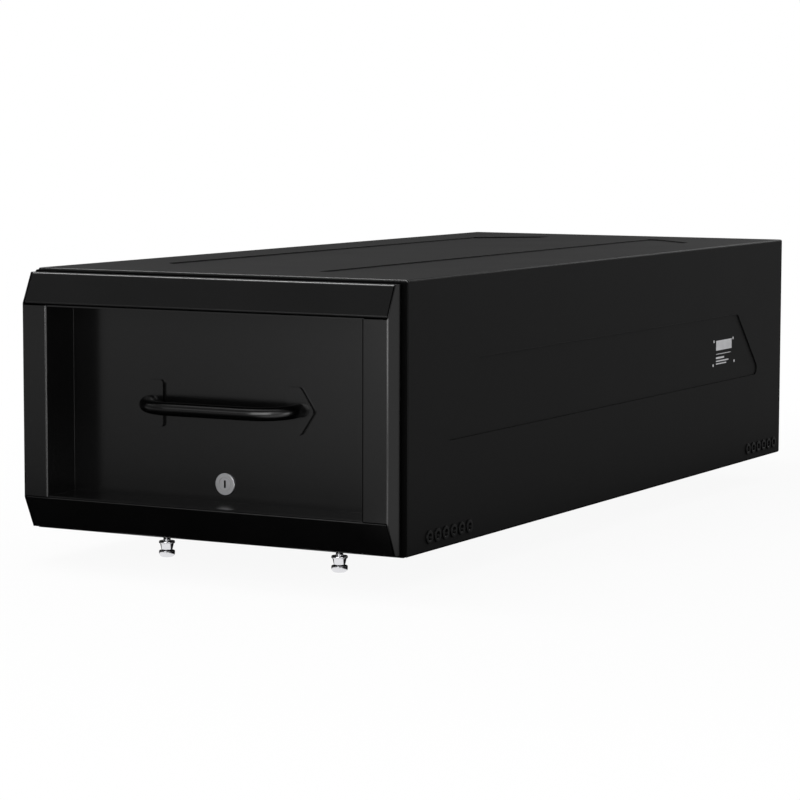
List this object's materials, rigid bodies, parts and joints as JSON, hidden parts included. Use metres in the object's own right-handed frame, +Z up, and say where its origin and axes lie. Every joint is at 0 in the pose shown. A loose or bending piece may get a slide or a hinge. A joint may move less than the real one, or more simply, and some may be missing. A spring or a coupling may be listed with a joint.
{
  "type": "drawer safe",
  "caption": "Long locking drawer safe in black sheet steel: a case on track studs, with a recessed front, bar handle and cam lock.",
  "frame": {"origin": "under the middle of the safe's length and width, at the level of the bottom of its track studs", "axes": "+X to the right as seen from the drawer's front, +Y towards the rear, +Z up"},
  "size_m": [0.443, 1.052, 0.3064],
  "materials": {
    "case_coat": "fine textured black powder coat",
    "front_coat": "smooth satin black powder coat",
    "gloss_coat": "gloss black",
    "rubber": "matt black",
    "chrome": "polished",
    "nickel": "satin nickel",
    "zinc": "bright zinc plate",
    "slide_steel": "zinc plated, lightly greased",
    "dark_steel": "black oxide"
  },
  "bodies": {
    "case": {"case_shell": "case_coat", "case_floor": "case_coat", "rear_panel": "case_coat", "front_seal": "rubber", "lock_strike": "zinc", "rear_screw_1": "dark_steel", "rear_screw_2": "dark_steel", "rear_screw_3": "dark_steel", "rear_screw_4": "dark_steel", "rear_screw_5": "dark_steel", "rear_screw_6": "dark_steel", "bumper_left": "rubber", "bumper_right": "rubber", "track_stud_front_left": "chrome", "stud_top_nut_front_left": "zinc", "stud_low_nut_front_left": "zinc", "track_stud_front_right": "chrome", "stud_top_nut_front_right": "zinc", "stud_low_nut_front_right": "zinc", "track_stud_rear_left": "chrome", "stud_top_nut_rear_left": "zinc", "stud_low_nut_rear_left": "zinc", "track_stud_rear_right": "chrome", "stud_top_nut_rear_right": "zinc", "stud_low_nut_rear_right": "zinc", "slide_spacer_left": "zinc", "slide_outer_left": "slide_steel", "slide_spacer_right": "zinc", "slide_outer_right": "slide_steel"},
    "drawer": {"front_top_rail": "front_coat", "front_bottom_rail": "front_coat", "front_left_stile": "front_coat", "front_right_stile": "front_coat", "recess_pan": "front_coat", "handle": "gloss_coat", "handle_screw_left": "zinc", "handle_screw_right": "zinc", "drawer_tub": "case_coat", "drawer_back": "case_coat", "drawer_liner": "rubber", "lock_body": "nickel", "lock_nut": "zinc", "slide_inner_left": "slide_steel", "slide_inner_right": "slide_steel"},
    "lock_core": {"lock_plug": "nickel", "lock_cam": "zinc", "cam_screw": "zinc"},
    "middle_left": {"slide_middle_left": "slide_steel"},
    "middle_right": {"slide_middle_right": "slide_steel"},
    "outer_balls_left": {"outer_retainer_left": "zinc"},
    "outer_balls_right": {"outer_retainer_right": "zinc"},
    "inner_balls_left": {"inner_retainer_left": "zinc"},
    "inner_balls_right": {"inner_retainer_right": "zinc"}
  },
  "joints": [
    {"name": "drawer_slide", "type": "slide", "parent": "case", "child": "drawer", "axis": [0, -1, 0], "range_m": [0, 0.86]},
    {"name": "lock_turn", "type": "hinge", "parent": "drawer", "child": "lock_core", "pos_m": [0, -0.4543, 0.0899], "axis": [0, 1, 0], "range_deg": [0, 90]},
    {"name": "middle_slide_left", "type": "slide", "parent": "case", "child": "middle_left", "axis": [0, -1, 0], "range_m": [0, 0.43]},
    {"name": "outer_ball_slide_left", "type": "slide", "parent": "case", "child": "outer_balls_left", "axis": [0, -1, 0], "range_m": [0, 0.215]},
    {"name": "inner_ball_slide_left", "type": "slide", "parent": "case", "child": "inner_balls_left", "axis": [0, -1, 0], "range_m": [0, 0.645]},
    {"name": "middle_slide_right", "type": "slide", "parent": "case", "child": "middle_right", "axis": [0, -1, 0], "range_m": [0, 0.43]},
    {"name": "outer_ball_slide_right", "type": "slide", "parent": "case", "child": "outer_balls_right", "axis": [0, -1, 0], "range_m": [0, 0.215]},
    {"name": "inner_ball_slide_right", "type": "slide", "parent": "case", "child": "inner_balls_right", "axis": [0, -1, 0], "range_m": [0, 0.645]}
  ],
  "couplings": [
    {"joint": "middle_slide_left", "follows": "drawer_slide", "ratio": 0.5},
    {"joint": "outer_ball_slide_left", "follows": "drawer_slide", "ratio": 0.25},
    {"joint": "inner_ball_slide_left", "follows": "drawer_slide", "ratio": 0.75},
    {"joint": "middle_slide_right", "follows": "drawer_slide", "ratio": 0.5},
    {"joint": "outer_ball_slide_right", "follows": "drawer_slide", "ratio": 0.25},
    {"joint": "inner_ball_slide_right", "follows": "drawer_slide", "ratio": 0.75}
  ]
}
